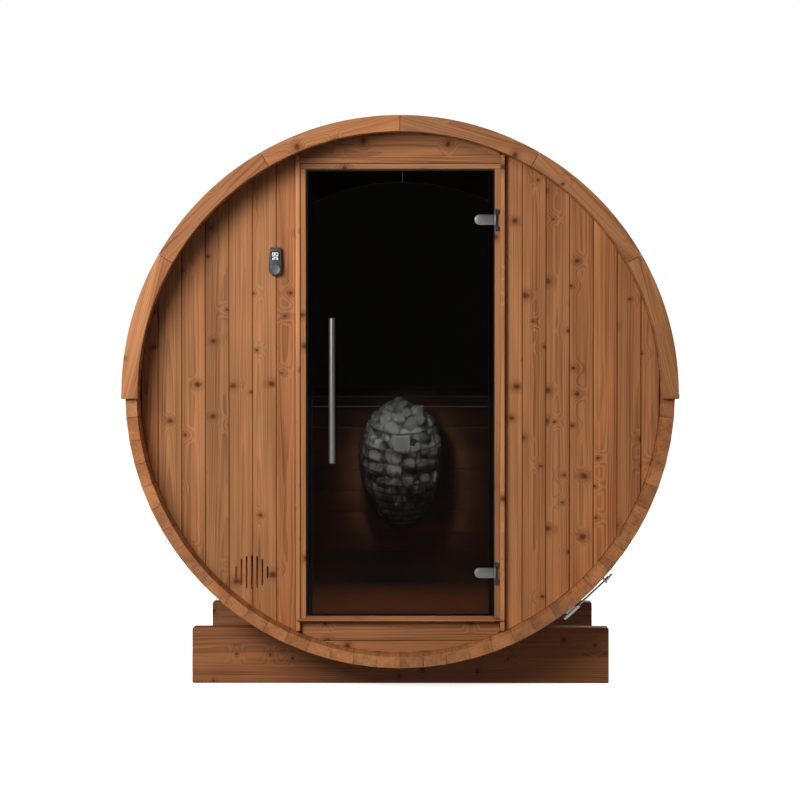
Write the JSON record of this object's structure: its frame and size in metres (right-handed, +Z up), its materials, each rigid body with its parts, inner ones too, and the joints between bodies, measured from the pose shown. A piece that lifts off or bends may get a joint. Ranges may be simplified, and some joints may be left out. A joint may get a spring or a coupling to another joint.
{
  "type": "barrel sauna",
  "caption": "Outdoor barrel-shaped sauna cabin lying on two timber cradles, with a glass door in a recessed boarded front, a half-moon rear window and a stone-filled cage heater.",
  "frame": {"origin": "on the ground under the middle of the barrel, at the centre of the bounding box's bottom", "axes": "+X to the right seen from the door, +Y from the door to the rear window along the barrel, +Z up"},
  "size_m": [2.092, 1.856, 2.163],
  "materials": {
    "wood": "planed heat-treated softwood",
    "roofing": "granulated bitumen shingle",
    "eaves_metal": "matt",
    "seal": "matt",
    "satin_metal": "satin",
    "steel": "satin",
    "tinted_glass": "polished",
    "charcoal_plastic": "matt",
    "grey_plastic": "satin",
    "heater_metal": "satin",
    "stones": "rough broken"
  },
  "bodies": {
    "cabin": {"cradle_front": "wood", "cradle_rear": "wood", "staves_top_right": "wood", "staves_upper_right": "wood", "staves_lower_right": "wood", "staves_bottom_right": "wood", "staves_bottom_left": "wood", "staves_lower_left": "wood", "staves_upper_left": "wood", "staves_top_left": "wood", "roof_trim_front": "wood", "roof_trim_rear": "wood", "front_wall_left": "wood", "front_wall_right": "wood", "front_wall_top": "wood", "front_wall_bottom": "wood", "door_jamb_left": "wood", "door_jamb_right": "wood", "door_head": "wood", "door_sill": "wood", "rear_wall_lower": "wood", "rear_wall_arch": "wood", "rear_window_sill": "wood", "floor_bearers": "wood", "floor_panel_front": "wood", "floor_panel_rear": "wood", "roof_left": "roofing", "roof_right": "roofing", "eaves_left": "eaves_metal", "eaves_right": "eaves_metal", "door_seal": "seal", "hinge_leaf_upper": "satin_metal", "hinge_leaf_lower": "satin_metal", "control_panel": "charcoal_plastic", "rear_window_glass": "tinted_glass", "hoop_front": "steel", "hoop_rear": "steel", "tensioner_front": "steel", "tensioner_rear": "steel", "heater_bracket": "heater_metal", "heater_rings": "heater_metal", "heater_stones": "stones", "heater_plate": "satin_metal"},
    "door": {"door_glass": "tinted_glass", "door_handle_bar": "satin_metal", "door_handle_posts": "satin_metal", "hinge_strap_upper": "satin_metal", "hinge_strap_lower": "satin_metal"},
    "knob": {"control_knob": "grey_plastic"}
  },
  "joints": [
    {"name": "door_hinge", "type": "hinge", "parent": "cabin", "child": "door", "pos_m": [0.36, -0.778, 1.109], "axis": [0, 0, 1], "range_deg": [0, 110]},
    {"name": "knob_turn", "type": "hinge", "parent": "cabin", "child": "knob", "pos_m": [-0.472, -0.772, 1.591], "axis": [0, 1, 0], "continuous": true}
  ]
}
